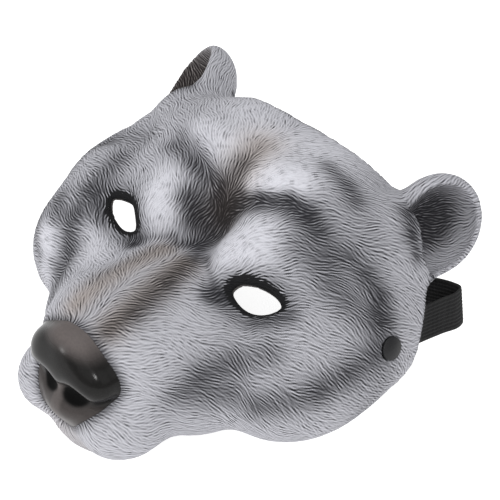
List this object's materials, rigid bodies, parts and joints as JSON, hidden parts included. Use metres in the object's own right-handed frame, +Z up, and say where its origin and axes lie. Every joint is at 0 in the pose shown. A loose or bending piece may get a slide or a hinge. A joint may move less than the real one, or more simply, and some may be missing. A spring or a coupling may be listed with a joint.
{
  "type": "bear mask",
  "caption": "Moulded half mask of a bear's face with upright ears and a blunt nose, open almond eye holes, and an elastic strap held by a rivet at each temple.",
  "frame": {"origin": "middle of the mask's box in plan, on the surface it stands on", "axes": "+Z up from the surface, -Y the way the nose points, +X the wearer's left; the mask leans back on its lower edge as it stands by itself"},
  "size_m": [0.1886, 0.1778, 0.0978],
  "materials": {
    "painted_foam": "matte, dry-brushed grey over dark",
    "elastic": "ribbed weave",
    "rivet_plastic": "satin"
  },
  "bodies": {
    "root": {"mask_shell": "painted_foam", "elastic_strap": "elastic", "rivet_cap_left": "rivet_plastic", "rivet_cap_right": "rivet_plastic", "rivet_back_left": "rivet_plastic", "rivet_back_right": "rivet_plastic"}
  },
  "joints": []
}
